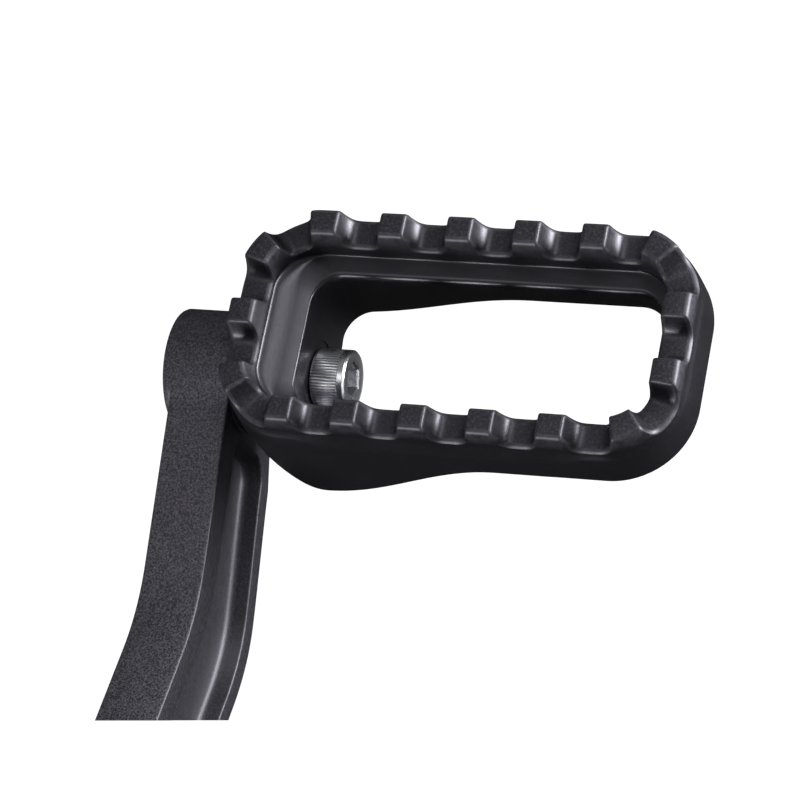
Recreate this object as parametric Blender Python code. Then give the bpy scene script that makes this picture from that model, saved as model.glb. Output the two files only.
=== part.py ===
"""Serrated open-loop brake pedal pad, bolted to the end of its forged lever arm.

Lengths are in millimetres and are turned into metres where a mesh is made.
Frame: +X along the screw, away from the lever; +Y across the pad; +Z out of the teeth.
The origin is the centre of the flat face where the lever arm ends.
"""
import math
from dataclasses import dataclass, replace

import bmesh
import bpy
from mathutils import Matrix, Vector

MM = 0.001
SEAT_GAP = 0.3              # left between pieces that touch

# Pad: the ring of teeth, seen from above
RING_LENGTH = 75.7          # over the flat tops, outer edge to outer edge
RING_WIDTH = 36.5
TOOTH_THICKNESS = 3.6       # flat top, from inside to outside
RING_CORNER_RADIUS = 9.3    # of the line midway through the teeth
RING_FAR_CORNER_RADIUS = 10.5  # the screw end's far corner is rounder
TOOTH_COUNT = 17
TOOTH_WIDTH = 3.4           # flat top, along the ring
NOTCH_DEPTH = 4.2
NOTCH_SQUARENESS = 4.6      # 2 is a plain arc, more is a flatter floor
NOTCH_OUTER_LEAN = 0.22     # the wall is this much thicker at a notch's floor, outside
NOTCH_INNER_LEAN = 0.42     # and inside
ROW_OFFSET = 0.6            # both long rows sit this much further on round the ring
EDGE_BREAK = 0.45           # chamfer on every tooth and notch edge

# Pad: outer wall
BELT_DEPTH = 7.0            # where the slope under the teeth ends
BELT_FLARE = 1.18           # how far the slope runs out on the long sides
FREE_END_FLARE = 0.78       # and at the free end
BELT_CORNER_RADIUS = 13.3
BELT_NEAR_CORNER_RADIUS = 10.9  # the screw end's near corner is squarer
SCREW_END_FLARE = 0.03      # the slope at the screw end, hardly any
BOTTOM_ROUND = 1.6

# Pad: inner wall, ledge and window
LEDGE_DEPTH = 7.4
LEDGE_FILLET = 2.3
WALL_DRAFT = 0.45           # the inner wall leans this much towards its fillet
LEDGE_EDGE_ROUND = 0.35
LEDGE_FAR_SIDE = 4.23       # from the inner wall to the window
LEDGE_NEAR_SIDE = 0.83      # nearly no ledge on this side
LEDGE_SCREW_END = 6.43
LEDGE_FREE_END = 1.33
LEDGE_FLAT_SHARE = 0.52     # of the ledge's width, the rest is fillet
WINDOW_CORNER_RADIUS = 5.0
WINDOW_FAR_DRAFT = 0.6      # the window widens this much towards the bottom
WINDOW_NEAR_DRAFT = 0.2
WINDOW_SCREW_END_DRAFT = 0.6
WINDOW_FREE_END_DRAFT = 1.0
WINDOW_BOTTOM_ROUND = 1.0

# Pad: bottom edge, deepest beside the screw
SKIRT_DEPTH = 14.8          # along the free half
CORNER_DEPTH = 19.4         # at the two corners of the screw end
DEEPEST = 25.4
DEEP_START = 2.2            # the deep part's places, from the ring's screw end
DEEP_FULL = 11.8
DEEP_END = 45.4
DEEP_LEAN = 0.17            # the deep part hangs lower towards the near side

# Screw: M6 cap screw, ISO 4762
SCREW_DIAMETER = 6.0
SCREW_ROOT_DIAMETER = 5.4   # the threaded stretch is plain here
SCREW_LENGTH = 22.0
HEAD_DIAMETER = 10.0
HEAD_HEIGHT = 6.0
HEAD_CHAMFER = 0.3
HEAD_LAND = 0.9             # smooth band between the knurl and the chamfer
KNURL_RIBS = 40
KNURL_DEPTH = 0.16
SOCKET_WIDTH = 5.0          # across the flats
SOCKET_DEPTH = 3.2
SCREW_ACROSS = -4.15        # the screw's axis, from the ring's middle line
SCREW_BELOW = 17.2          # the screw's axis, below the tooth tops
COUNTERBORE_DEPTH = 0.2     # the head's seat lies this deep in the window's end wall
COUNTERBORE_DIAMETER = 12.6
SCREW_CLEARANCE = 0.3       # all round the shank

# Boss faces between the pad and the lever arm
BOSS_DIAMETER = 20.3
BOSS_PROUD = 0.2            # the pad's boss stands this far out of its end wall
PAD_BOSS_WAIST = 18.9       # its diameter under the ledge
LEVER_BOSS_LENGTH = 12.1
LEVER_BOSS_EDGE = 0.5

# Lever arm: a forged bar of I section
ARM_INSET = 0.2             # the arm lies this far behind the boss face
ARM_THICKNESS = 10.5
ARM_EDGE_ROUND = 0.6
ARM_TOP_AT_BOSS = 7.3       # heights and reaches are from the screw's axis
ARM_ROOT_REACH = 7.0
ARM_BEND_REACH = 43.0
ARM_TOP_AT_BEND = 0.9
ARM_OUTER_SLOPE = 0.33      # rise for each millimetre past the bend
ARM_BEND_LENGTH = 15.0      # the bend is spread over this much of the arm
ARM_ROOT_END = 14.0         # the lower edge runs straight from the boss to here
ARM_DEPTH_AT_ROOT = 23.7
ARM_DEPTH_AT_BEND = 26.2
ARM_LENGTH = 75.0           # before the end is cut
RECESS_DEPTH = 3.4
RECESS_DRAFT = 0.7
TOP_FLANGE = 6.3
BOTTOM_FLANGE = 3.9
RECESS_START = 10.6
RECESS_CORNER = 3.0
END_REACH = 61.2            # where the arm's end face crosses the line through the screw's axis
END_TILT = 18.4             # degrees, leaning under the arm
END_SKEW = 5.6              # degrees, turned towards the pad

STRAIGHT_STATIONS = 3
NOTCH_STATIONS = 10
ROUND_SEGMENTS = 64


def smoothstep(value, start, end):
    """Goes from 0 to 1 between start and end, level at both."""
    t = min(max((value - start) / (end - start), 0.0), 1.0)
    return t * t * (3.0 - 2.0 * t)


@dataclass(frozen=True)
class Outline:
    """A rectangle with round corners, walked in eight runs from the screw end.

    The radii stand in the order of the walk: far and near are the long sides, so it is
    screw end far, free end far, free end near, screw end near.
    """

    x_min: float
    x_max: float
    y_min: float
    y_max: float
    radii: tuple

    def grown(self, amount):
        """The parallel outline, further out by amount."""
        return Outline(self.x_min - amount, self.x_max + amount,
                       self.y_min - amount, self.y_max + amount,
                       tuple(max(r + amount, 0.2) for r in self.radii))

    def blended(self, other, t):
        """The outline part of the way to another one."""
        def between(a, b):
            return a + (b - a) * t

        return Outline(between(self.x_min, other.x_min), between(self.x_max, other.x_max),
                       between(self.y_min, other.y_min), between(self.y_max, other.y_max),
                       tuple(map(between, self.radii, other.radii)))

    def run_lengths(self):
        """Lengths of the eight runs: side, corner, side, corner and so on."""
        lengths = []
        for side in range(4):
            full = self.x_max - self.x_min if side % 2 else self.y_max - self.y_min
            lengths.append(full - self.radii[side - 1] - self.radii[side])
            lengths.append(math.pi / 2.0 * self.radii[side])
        return lengths

    def point(self, run, t):
        """The point a fraction t along one run."""
        a, b, c, d = self.radii
        centres = [(self.x_min + a, self.y_max - a), (self.x_max - b, self.y_max - b),
                   (self.x_max - c, self.y_min + c), (self.x_min + d, self.y_min + d)]
        side = run // 2
        turned_by = t if run % 2 == 1 else 0.0
        angle = math.pi - (side + turned_by) * math.pi / 2.0
        ends = []
        for corner in (side - 1, side):
            cx, cy = centres[corner]
            r = self.radii[corner]
            ends.append((cx + r * math.cos(angle), cy + r * math.sin(angle)))
        if run % 2 == 1:
            return ends[1]
        (ax, ay), (bx, by) = ends
        return ax + (bx - ax) * t, ay + (by - ay) * t


def material(name, colour, roughness, metallic):
    """A plain Principled material."""
    mat = bpy.data.materials.new(name)
    mat.use_nodes = True
    shader = mat.node_tree.nodes["Principled BSDF"]
    shader.inputs["Base Color"].default_value = (*colour, 1.0)
    shader.inputs["Roughness"].default_value = roughness
    shader.inputs["Metallic"].default_value = metallic
    mat.diffuse_color = (*colour, 1.0)
    return mat


def add_object(name, bm, mat, parent, location=(0.0, 0.0, 0.0)):
    """Turns a mesh in millimetres into an object, smooth with sharp edges kept."""
    bmesh.ops.recalc_face_normals(bm, faces=bm.faces)
    bmesh.ops.scale(bm, vec=(MM, MM, MM), verts=bm.verts)
    mesh = bpy.data.meshes.new(name)
    bm.to_mesh(mesh)
    bm.free()
    if mat:
        mesh.materials.append(mat)
    mesh.shade_smooth()
    mesh.set_sharp_from_angle(angle=math.radians(32))
    obj = bpy.data.objects.new(name, mesh)
    bpy.context.scene.collection.objects.link(obj)
    obj.parent = parent
    obj.location = Vector(location) * MM
    return obj


def add_cutter(name, bm, parent, location=(0.0, 0.0, 0.0)):
    """A helper solid for a boolean, kept out of the finished part."""
    obj = add_object(name, bm, None, parent, location)
    obj.hide_render = True
    obj.display_type = 'WIRE'
    return obj


def boolean(obj, cutter, operation):
    """Adds or takes away a helper solid."""
    mod = obj.modifiers.new(cutter.name, 'BOOLEAN')
    mod.operation = operation
    mod.solver = 'EXACT'
    mod.object = cutter
    return mod


def applied(obj):
    """Applies an object's booleans, removes their helpers and marks the sharp edges."""
    bpy.context.view_layer.update()
    graph = bpy.context.evaluated_depsgraph_get()
    mesh = bpy.data.meshes.new_from_object(obj.evaluated_get(graph))
    mesh.name = obj.name
    helpers = [mod.object for mod in obj.modifiers]
    obj.modifiers.clear()
    obj.data = mesh
    for helper in helpers:
        bpy.data.objects.remove(helper, do_unlink=True)
    mesh.shade_smooth()
    mesh.set_sharp_from_angle(angle=math.radians(32))
    return obj


def bridge(bm, rings, closed):
    """Joins rings of vertices with faces, ring to ring and round each ring."""
    pairs = list(zip(rings, rings[1:] + rings[:1] if closed else rings[1:]))
    for low, high in pairs:
        count = len(low)
        for i in range(count):
            j = (i + 1) % count
            bm.faces.new((low[i], low[j], high[j], high[i]))


def turned(profile, segments, shape=None):
    """A solid turned about X from (x, radius) pairs; shape may vary a ring's radius."""
    bm = bmesh.new()
    rings = []
    for x, radius in profile:
        ring = []
        for k in range(segments):
            angle = 2.0 * math.pi * k / segments
            r = shape(x, radius, k) if shape else radius
            ring.append(bm.verts.new((x, r * math.cos(angle), r * math.sin(angle))))
        rings.append(ring)
    bridge(bm, rings, closed=False)
    bm.faces.new(rings[0])
    bm.faces.new(rings[-1])
    return bm


def ring_line():
    """The line midway through the teeth."""
    half_length = (RING_LENGTH - TOOTH_THICKNESS) / 2.0
    half_width = (RING_WIDTH - TOOTH_THICKNESS) / 2.0
    radii = (RING_FAR_CORNER_RADIUS,) + (RING_CORNER_RADIUS,) * 3
    return Outline(-half_length, half_length, -half_width, half_width, radii)


def notch_profile(offset, half_notch):
    """Depth below the tooth tops at a distance from a notch's middle."""
    t = abs(offset) / half_notch
    if t >= 1.0:
        return 0.0
    return EDGE_BREAK + (NOTCH_DEPTH - EDGE_BREAK) * (1.0 - t ** NOTCH_SQUARENESS)


def ring_stations():
    """Places round the ring, as (run, fraction, depth of the top), tooth by tooth."""
    line = ring_line()
    lengths = line.run_lengths()
    total = sum(lengths)
    pitch = total / TOOTH_COUNT
    half_tooth = TOOTH_WIDTH / 2.0
    half_notch = pitch / 2.0 - half_tooth - EDGE_BREAK
    middle_of_end = -line.y_min - line.radii[3]
    places = []
    for tooth in range(TOOTH_COUNT):
        middle = tooth * pitch
        for k in range(STRAIGHT_STATIONS):
            t = k / (STRAIGHT_STATIONS - 1)
            places.append((middle - half_tooth + t * TOOTH_WIDTH, 0.0))
        for k in range(NOTCH_STATIONS + 1):
            angle = math.pi * (1.0 - k / NOTCH_STATIONS)
            offset = half_notch * math.cos(angle)
            depth = EDGE_BREAK if k in (0, NOTCH_STATIONS) else notch_profile(offset, half_notch)
            places.append((middle + pitch / 2.0 + offset, depth))
    stations = []
    for distance, depth in places:
        s = (distance + middle_of_end) % total
        run = 0
        while s > lengths[run] and run < 7:
            s -= lengths[run]
            run += 1
        t = s / lengths[run]
        if run in (2, 6):
            # both long rows of teeth sit a little further on round the ring
            t += ROW_OFFSET * math.sin(math.pi * t) ** 0.25 / lengths[run]
        stations.append((run, t, depth))
    return stations


def bottom_height(x, y):
    """Height of the pad's underside at a place in the ring's plan."""
    along = x + RING_LENGTH / 2.0
    if along < DEEP_FULL:
        share = smoothstep(along, DEEP_START, DEEP_FULL)
        shallow = CORNER_DEPTH
    else:
        share = 1.0 - smoothstep(along, DEEP_FULL, DEEP_END)
        shallow = SKIRT_DEPTH
    return -shallow - (DEEPEST - shallow) * share + DEEP_LEAN * share * y


def window_outlines():
    """The window at the ledge and at the pad's underside."""
    wall = ring_line().grown(-TOOTH_THICKNESS / 2.0 - EDGE_BREAK)
    window = Outline(wall.x_min + LEDGE_SCREW_END, wall.x_max - LEDGE_FREE_END,
                     wall.y_min + LEDGE_NEAR_SIDE, wall.y_max - LEDGE_FAR_SIDE,
                     (WINDOW_CORNER_RADIUS,) * 4)
    low = replace(window, x_min=window.x_min + WINDOW_SCREW_END_DRAFT,
                  x_max=window.x_max - WINDOW_FREE_END_DRAFT,
                  y_min=window.y_min - WINDOW_NEAR_DRAFT,
                  y_max=window.y_max + WINDOW_FAR_DRAFT)
    return window, low


def pad_loops():
    """The pad's section as (outline, lean, height) rows, right round the section.

    The lean is how far the outline grows at a notch's floor. A height is a function of the
    notch's depth and of the place in the ring's plan.
    """
    line = ring_line()
    half = TOOTH_THICKNESS / 2.0
    top_outer = line.grown(half + EDGE_BREAK)
    belt = replace(top_outer.grown(BELT_FLARE), x_min=top_outer.x_min - SCREW_END_FLARE,
                   x_max=top_outer.x_max + FREE_END_FLARE,
                   radii=(BELT_CORNER_RADIUS,) * 3 + (BELT_NEAR_CORNER_RADIUS,))
    window, window_low = window_outlines()
    wall_low = line.grown(-half - EDGE_BREAK - WALL_DRAFT)
    edge = window.grown(LEDGE_EDGE_ROUND)
    foot = replace(edge.blended(wall_low, LEDGE_FLAT_SHARE), radii=edge.radii)
    under_outer = belt.grown(-BOTTOM_ROUND)
    under_inner = window_low.grown(WINDOW_BOTTOM_ROUND)
    turn = 1.0 - math.cos(math.pi / 4.0)

    def top(drop):
        return lambda depth, x, y: -depth - drop

    def bottom(rise):
        return lambda depth, x, y: bottom_height(x, y) + rise

    def level(z):
        return lambda depth, x, y: z

    loops = [(line.grown(-half), -NOTCH_INNER_LEAN, top(0.0)),
             (line.grown(half), NOTCH_OUTER_LEAN, top(0.0)),
             (top_outer, NOTCH_OUTER_LEAN, top(EDGE_BREAK)),
             (belt, 0.0, level(-BELT_DEPTH)), (belt, 0.0, bottom(BOTTOM_ROUND)),
             (belt.grown(-BOTTOM_ROUND * turn), 0.0, bottom(BOTTOM_ROUND * turn))]
    for share in (0.0, 0.25, 0.5, 0.75, 1.0):
        loops.append((under_outer.blended(under_inner, share), 0.0, bottom(0.0)))
    loops += [(window_low, 0.0, bottom(WINDOW_BOTTOM_ROUND)),
              (window, 0.0, level(-LEDGE_DEPTH - LEDGE_EDGE_ROUND)),
              (edge, 0.0, level(-LEDGE_DEPTH))]
    steps = 4
    for k in range(steps + 1):
        angle = math.pi / 2.0 * k / steps
        loops.append((foot.blended(wall_low, math.sin(angle)), 0.0,
                      level(-LEDGE_DEPTH + LEDGE_FILLET * (1.0 - math.cos(angle)))))
    loops.append((line.grown(-half - EDGE_BREAK), -NOTCH_INNER_LEAN, top(EDGE_BREAK)))
    return loops


def build_pad(mat, parent):
    """The serrated ring with its screw end: boss face, screw hole and counterbore."""
    bm = bmesh.new()
    stations = ring_stations()
    rings = []
    for outline, lean, height in pad_loops():
        ring = []
        for run, t, depth in stations:
            x, y = outline.grown(lean * depth / NOTCH_DEPTH).point(run, t)
            ring.append(bm.verts.new((x, y, height(depth, x, y))))
        rings.append(ring)
    bridge(bm, rings, closed=True)
    location = (RING_LENGTH / 2.0 + EDGE_BREAK + SCREW_END_FLARE + BOSS_PROUD,
                -SCREW_ACROSS, SCREW_BELOW)
    pad = add_object("pedal_pad", bm, mat, parent, location)

    window, window_low = window_outlines()
    seat = (window.x_min + window_low.x_min) / 2.0 - COUNTERBORE_DEPTH + location[0]
    inside = BOSS_PROUD + SCREW_END_FLARE + TOOTH_THICKNESS
    boss = turned([(0.0, BOSS_DIAMETER / 2.0), (inside, BOSS_DIAMETER / 2.0),
                   (inside + 0.8, PAD_BOSS_WAIST / 2.0), (seat - 0.6, PAD_BOSS_WAIST / 2.0)],
                  ROUND_SEGMENTS)
    boolean(pad, add_cutter("pad_boss", boss, parent), 'UNION')
    hole_radius = SCREW_DIAMETER / 2.0 + SCREW_CLEARANCE
    bore_radius = COUNTERBORE_DIAMETER / 2.0
    hole = turned([(-5.0, hole_radius), (seat, hole_radius), (seat, bore_radius),
                   (seat + 9.0, bore_radius)], ROUND_SEGMENTS // 2)
    boolean(pad, add_cutter("pad_screw_hole", hole, parent), 'DIFFERENCE')
    return applied(pad), seat


def build_screw(mat, parent, seat):
    """The socket head cap screw, its origin at the head's seat."""
    ribs = KNURL_RIBS * 2
    radius = HEAD_DIAMETER / 2.0
    smooth_from = HEAD_HEIGHT - HEAD_LAND - HEAD_CHAMFER

    def knurl(x, r, k):
        ribbed = -0.01 < x - SEAT_GAP < smooth_from + 0.01 and abs(r - radius) < 0.001
        return r - (KNURL_DEPTH if ribbed and k % 2 else 0.0)

    shank = SCREW_DIAMETER / 2.0
    root = SCREW_ROOT_DIAMETER / 2.0
    profile = [(-SCREW_LENGTH, root - 0.6), (-SCREW_LENGTH + 0.6, root),
               (-seat - SEAT_GAP, root), (-seat, shank),
               (SEAT_GAP, shank), (SEAT_GAP, radius), (SEAT_GAP + smooth_from, radius),
               (SEAT_GAP + smooth_from + 0.12, radius),
               (SEAT_GAP + HEAD_HEIGHT - HEAD_CHAMFER, radius),
               (SEAT_GAP + HEAD_HEIGHT, radius - HEAD_CHAMFER)]
    bm = turned(profile, ribs, knurl)
    screw = add_object("pad_screw", bm, mat, parent, (seat, 0.0, 0.0))

    corner = SOCKET_WIDTH / 2.0 / math.cos(math.pi / 6.0)
    socket = bmesh.new()
    rings = []
    face = SEAT_GAP + HEAD_HEIGHT
    for x, scale in ((face - SOCKET_DEPTH, 0.97), (face + 1.0, 1.0)):
        rings.append([socket.verts.new((x, scale * corner * math.cos(math.pi / 3.0 * k),
                                        scale * corner * math.sin(math.pi / 3.0 * k)))
                      for k in range(6)])
    bridge(socket, rings, closed=False)
    socket.faces.new(rings[0])
    socket.faces.new(rings[-1])
    boolean(screw, add_cutter("screw_socket", socket, parent, (seat, 0.0, 0.0)), 'DIFFERENCE')
    return applied(screw)


def arm_top(reach):
    """Height of the arm's upper edge at a distance from the screw's axis."""
    inner_slope = (ARM_TOP_AT_BEND - ARM_TOP_AT_BOSS) / (ARM_BEND_REACH - ARM_ROOT_REACH)
    ahead = reach - ARM_BEND_REACH
    spread = ARM_BEND_LENGTH / 2.0
    slope_change = ARM_OUTER_SLOPE - inner_slope
    line = ARM_TOP_AT_BEND + inner_slope * ahead
    if ahead <= -spread:
        return line
    if ahead >= spread:
        return line + slope_change * ahead
    return line + slope_change * (ahead + spread) ** 2 / (4.0 * spread)


def arm_depth(reach):
    """Height of the bar from its lower to its upper edge."""
    return ARM_DEPTH_AT_ROOT + (ARM_DEPTH_AT_BEND - ARM_DEPTH_AT_ROOT) \
        * smoothstep(reach, ARM_ROOT_REACH, ARM_BEND_REACH)


def arm_root():
    """Where the straight root of the lower edge touches the boss, as (reach, height)."""
    radius = BOSS_DIAMETER / 2.0 - 0.1
    height = arm_top(ARM_ROOT_END) - arm_depth(ARM_ROOT_END)
    distance = math.hypot(ARM_ROOT_END, height)
    angle = math.atan2(height, ARM_ROOT_END) - math.acos(radius / distance)
    return radius * math.cos(angle), radius * math.sin(angle)


def arm_bottom(reach):
    """Height of the arm's lower edge at a distance from the screw's axis."""
    if reach >= ARM_ROOT_END:
        return arm_top(reach) - arm_depth(reach)
    root_reach, root_height = arm_root()
    end_height = arm_top(ARM_ROOT_END) - arm_depth(ARM_ROOT_END)
    t = (reach - root_reach) / (ARM_ROOT_END - root_reach)
    return root_height + (end_height - root_height) * t


def arm_outline(top_inset, bottom_inset, starts, end, steps, round_start):
    """A closed outline (reach, height) inside the arm, from its two starts to its end."""
    upper = []
    lower = []
    for k in range(steps + 1):
        t = k / steps
        reach = starts[0] + (end - starts[0]) * t
        upper.append((reach, arm_top(reach) - top_inset))
        reach = starts[1] + (end - starts[1]) * t
        lower.append((reach, arm_bottom(reach) + bottom_inset))
    if round_start:
        # a rounded corner at each end of the short side
        r = round_start
        for row, sign in ((upper, -1.0), (lower, 1.0)):
            reach, height = row[0]
            slope = (row[1][1] - row[0][1]) / (row[1][0] - row[0][0])
            row[:] = [point for point in row if point[0] > reach + r + 0.3]
            arc = []
            for k in range(5):
                angle = math.pi / 2.0 * k / 4
                along = r * (1.0 - math.sin(angle))
                drop = r * (1.0 - math.cos(angle))
                arc.append((reach + along, height + slope * along + sign * drop))
            row[:0] = arc[::-1]
    return upper + lower[::-1]


def ring_of(bm, outline, x):
    """Vertices of an outline standing in the plane at x."""
    return [bm.verts.new((x, -reach, height)) for reach, height in outline]


def build_arm(mat, parent):
    """The forged arm: bar, boss, a long recess in each side and its plain end."""
    face = -SEAT_GAP - ARM_INSET
    back = face - ARM_THICKNESS
    bm = bmesh.new()
    rings = []
    steps = 30
    for k in range(4):
        angle = math.pi / 2.0 * k / 3
        inset = ARM_EDGE_ROUND * (1.0 - math.sin(angle))
        x = face - ARM_EDGE_ROUND * (1.0 - math.cos(angle))
        rings.append((x, inset))
    rings += [(face + back - x, inset) for x, inset in reversed(rings)]
    starts = (ARM_ROOT_REACH, arm_root()[0])
    loops = [ring_of(bm, arm_outline(inset, inset, starts, ARM_LENGTH, steps, 0.0), x)
             for x, inset in rings]
    bridge(bm, loops, closed=False)
    bm.faces.new(loops[0])
    bm.faces.new(loops[-1])
    arm = add_object("lever_arm", bm, mat, parent)

    radius = BOSS_DIAMETER / 2.0
    edge = LEVER_BOSS_EDGE
    far = -SEAT_GAP - LEVER_BOSS_LENGTH
    boss = turned([(far, radius - edge), (far + edge, radius), (-SEAT_GAP - 0.15, radius),
                   (-SEAT_GAP, radius - 0.15)], ROUND_SEGMENTS)
    boolean(arm, add_cutter("arm_boss", boss, parent), 'UNION')

    for name, near, into in (("arm_recess_outer", face, -1.0), ("arm_recess_inner", back, 1.0)):
        recess = bmesh.new()
        levels = [(-1.0, -RECESS_DRAFT * 0.3), (RECESS_DEPTH - 0.8, RECESS_DRAFT * 0.8),
                  (RECESS_DEPTH - 0.25, RECESS_DRAFT), (RECESS_DEPTH, RECESS_DRAFT + 0.8)]
        loops = []
        for depth, inset in levels:
            starts = (RECESS_START + inset, RECESS_START + inset)
            outline = arm_outline(TOP_FLANGE + inset, BOTTOM_FLANGE + inset, starts,
                                  ARM_LENGTH + 2.0, steps, RECESS_CORNER)
            loops.append(ring_of(recess, outline, near + into * depth))
        bridge(recess, loops, closed=False)
        recess.faces.new(loops[0])
        recess.faces.new(loops[-1])
        boolean(arm, add_cutter(name, recess, parent), 'DIFFERENCE')

    hole_radius = SCREW_ROOT_DIAMETER / 2.0 + SCREW_CLEARANCE
    hole = turned([(far - 3.0, hole_radius), (3.0, hole_radius)], ROUND_SEGMENTS // 2)
    boolean(arm, add_cutter("arm_screw_hole", hole, parent), 'DIFFERENCE')

    # the block that cuts the arm's end off square to the end face's normal
    bpy.context.view_layer.update()
    block = bmesh.new()
    bmesh.ops.create_cube(block, size=1.0)
    bmesh.ops.scale(block, vec=(80.0, 60.0, 120.0), verts=block.verts)
    bmesh.ops.translate(block, vec=(0.0, -30.0, 0.0), verts=block.verts)
    bmesh.ops.rotate(block, cent=(0.0, 0.0, 0.0), matrix=end_turn(), verts=block.verts)
    boolean(arm, add_cutter("arm_end_cut", block, parent, (face - ARM_THICKNESS / 2.0,
                                                           -END_REACH, 0.0)), 'DIFFERENCE')
    return applied(arm)


def end_turn():
    """The turn that carries -Y onto the end face's normal."""
    return Matrix.Rotation(math.radians(END_SKEW), 3, 'Z') \
        @ Matrix.Rotation(math.radians(END_TILT), 3, 'X')


def end_face_centre():
    """The middle of the arm's end face, from the screw's axis at the boss face."""
    normal = end_turn() @ Vector((0.0, -1.0, 0.0))
    x = -SEAT_GAP - ARM_INSET - ARM_THICKNESS / 2.0
    point = Vector((x, -END_REACH, 0.0))

    def reach_of(height_of):
        reach = END_REACH
        for _ in range(20):
            height = height_of(reach)
            reach = -(point.y - normal.z * (height - point.z) / normal.y)
        return reach

    upper = reach_of(arm_top)
    lower = reach_of(arm_bottom)
    return Vector((x, -(upper + lower) / 2.0, (arm_top(upper) + arm_bottom(lower)) / 2.0))


def main():
    """Clears the file, then builds the pad, its screw and the lever arm."""
    for obj in list(bpy.data.objects):
        bpy.data.objects.remove(obj, do_unlink=True)
    frame = bpy.data.objects.new("brake_pedal", None)
    bpy.context.scene.collection.objects.link(frame)
    frame.location = -end_face_centre() * MM
    black_anodised = material("black_anodised", (0.030, 0.030, 0.032), 0.42, 0.6)
    charcoal_coat = material("charcoal_coat", (0.045, 0.045, 0.048), 0.62, 0.2)
    plated_steel = material("plated_steel", (0.62, 0.61, 0.58), 0.3, 1.0)
    _, seat = build_pad(black_anodised, frame)
    build_screw(plated_steel, frame, seat)
    build_arm(charcoal_coat, frame)


main()
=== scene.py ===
"""Looks of a serrated open-loop brake pedal pad on the end of its forged lever.

Sizes are in millimetres and become metres where a mesh is made. Every piece is placed from
the box of the pad's solid.
"""

import logging
import math
from dataclasses import dataclass, field, replace
from enum import Enum
from typing import Any, Sequence

import bmesh
import bpy
from mathutils import Matrix, Vector

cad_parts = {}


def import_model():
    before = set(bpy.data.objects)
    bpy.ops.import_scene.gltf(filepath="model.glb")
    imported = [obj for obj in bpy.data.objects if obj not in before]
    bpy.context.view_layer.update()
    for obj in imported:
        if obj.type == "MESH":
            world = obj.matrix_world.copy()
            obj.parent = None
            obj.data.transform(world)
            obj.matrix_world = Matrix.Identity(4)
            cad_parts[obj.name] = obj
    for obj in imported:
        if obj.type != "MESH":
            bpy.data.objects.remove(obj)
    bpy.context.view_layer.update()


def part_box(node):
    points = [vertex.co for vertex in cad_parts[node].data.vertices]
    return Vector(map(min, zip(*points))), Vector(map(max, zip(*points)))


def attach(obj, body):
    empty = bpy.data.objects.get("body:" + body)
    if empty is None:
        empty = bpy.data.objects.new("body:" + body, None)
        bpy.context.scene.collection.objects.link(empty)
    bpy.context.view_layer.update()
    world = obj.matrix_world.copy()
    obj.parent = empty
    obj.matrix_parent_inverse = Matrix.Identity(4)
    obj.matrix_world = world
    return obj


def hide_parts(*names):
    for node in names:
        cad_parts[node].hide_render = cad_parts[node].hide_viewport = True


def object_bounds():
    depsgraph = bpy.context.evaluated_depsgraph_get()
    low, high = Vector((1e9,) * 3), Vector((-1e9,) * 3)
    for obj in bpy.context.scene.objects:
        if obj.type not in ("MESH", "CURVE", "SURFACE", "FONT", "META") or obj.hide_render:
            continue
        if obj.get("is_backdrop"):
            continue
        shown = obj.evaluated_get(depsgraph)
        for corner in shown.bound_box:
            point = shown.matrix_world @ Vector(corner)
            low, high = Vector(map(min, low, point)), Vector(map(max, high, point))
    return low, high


LOG = logging.getLogger("brake_pedal")
MM = 0.001
CURVE_HANDLE = 0.5523       # the handle with which a cubic follows a quarter circle
LEG_SHARE = 0.96            # how much of a leg the roundings at its ends may take
SMALLEST_RADIUS = 0.2
Colour = tuple[float, float, float]
Span = tuple[float, float]


class Operation(Enum):
    """What a helper solid does to a piece."""

    ADD = 'UNION'
    CUT = 'DIFFERENCE'


class Slot(Enum):
    """The record's material slots."""

    PAD = "black_anodised"
    LEVER = "charcoal_coat"
    SCREW = "plated_steel"


# Shader maths


class Channel:
    """A value that varies over a surface, on which Python's operators work."""

    def __init__(self, bench: "NodeBench", socket: bpy.types.NodeSocket) -> None:
        """Keeps the socket and the bench that can add nodes behind it."""
        self.bench = bench
        self.socket = socket

    def _math(self, operation: str, first: Any, second: Any) -> "Channel":
        """Adds one Math node.

        Args:
            operation: The node's operation.
            first: A channel or a number.
            second: A channel or a number.

        Returns:
            The node's result.
        """
        node = self.bench.add('ShaderNodeMath', {"operation": operation},
                              {0: first, 1: second})
        return Channel(self.bench, node.outputs[0])

    def __add__(self, other: Any) -> "Channel":
        """The sum."""
        return self._math('ADD', self, other)

    def __radd__(self, other: Any) -> "Channel":
        """The sum, with the number first."""
        return self._math('ADD', other, self)

    def __sub__(self, other: Any) -> "Channel":
        """The difference."""
        return self._math('SUBTRACT', self, other)

    def __rsub__(self, other: Any) -> "Channel":
        """The difference, with the number first."""
        return self._math('SUBTRACT', other, self)

    def __mul__(self, other: Any) -> "Channel":
        """The product."""
        return self._math('MULTIPLY', self, other)

    def __rmul__(self, other: Any) -> "Channel":
        """The product, with the number first."""
        return self._math('MULTIPLY', other, self)

    def between(self, low: float, high: float) -> "Channel":
        """Goes smoothly from 0 at low to 1 at high.

        Args:
            low: The value that gives 0.
            high: The value that gives 1.

        Returns:
            The share, from 0 to 1.
        """
        node = self.bench.add('ShaderNodeMapRange', {"interpolation_type": 'SMOOTHSTEP'},
                              {"Value": self, "From Min": low, "From Max": high})
        return Channel(self.bench, node.outputs["Result"])


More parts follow.
